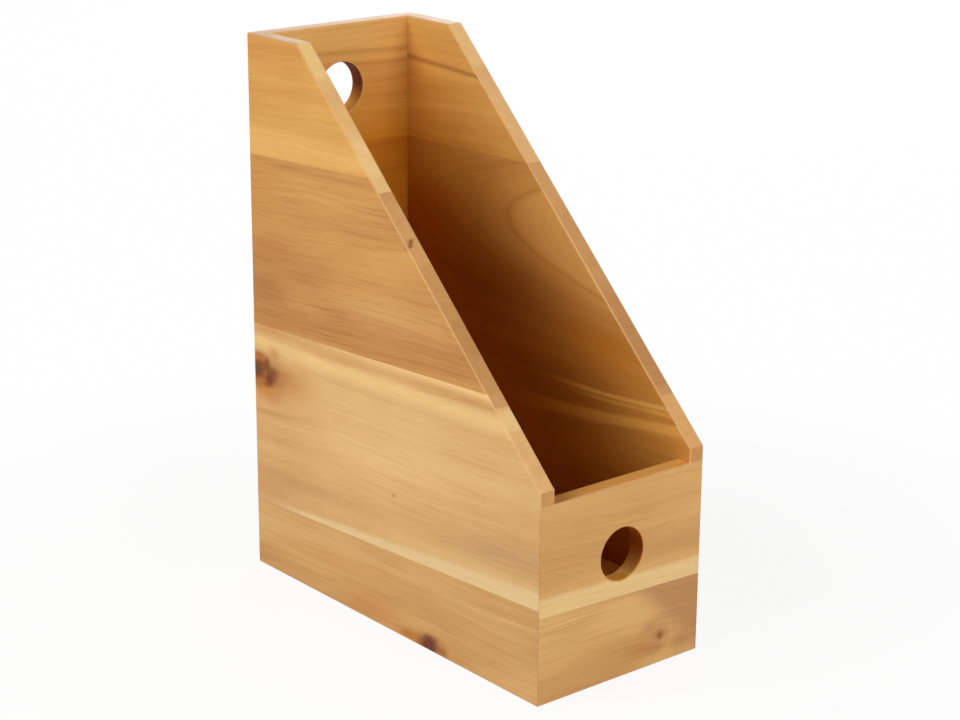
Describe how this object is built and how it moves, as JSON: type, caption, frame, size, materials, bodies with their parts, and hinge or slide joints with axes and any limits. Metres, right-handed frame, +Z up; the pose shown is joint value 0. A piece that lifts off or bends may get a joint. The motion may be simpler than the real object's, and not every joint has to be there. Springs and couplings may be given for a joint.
{
  "type": "magazine rack",
  "caption": "Upright wooden magazine rack: a narrow open-topped box of edge-glued staves with mitred corners, sloping sides and round finger holes in front and back.",
  "frame": {"origin": "middle of the footprint, on the surface that the rack stands on", "axes": "+Z up, +Y towards the high back, +X to the right of someone facing the low front"},
  "size_m": [0.1164, 0.255, 0.32],
  "materials": {
    "acacia_top": "satin lacquer, pale honey staves",
    "acacia_upper": "satin lacquer, amber brown staves",
    "acacia_lower": "satin lacquer, golden staves with pale sapwood",
    "acacia_bottom": "satin lacquer, golden brown staves with knots",
    "acacia_base": "satin lacquer",
    "spline_wood": "bare sawn wood"
  },
  "bodies": {
    "root": {"left_side_bottom_stave": "acacia_bottom", "left_side_lower_stave": "acacia_lower", "left_side_upper_stave": "acacia_upper", "left_side_top_stave": "acacia_top", "right_side_bottom_stave": "acacia_bottom", "right_side_lower_stave": "acacia_lower", "right_side_upper_stave": "acacia_upper", "right_side_top_stave": "acacia_top", "back_bottom_stave": "acacia_bottom", "back_lower_stave": "acacia_lower", "back_upper_stave": "acacia_upper", "back_top_stave": "acacia_top", "front_bottom_stave": "acacia_bottom", "front_top_stave": "acacia_lower", "base_left_board": "acacia_base", "base_right_board": "acacia_base", "front_left_spline": "spline_wood", "front_right_spline": "spline_wood", "back_left_spline": "spline_wood", "back_right_spline": "spline_wood"}
  },
  "joints": []
}
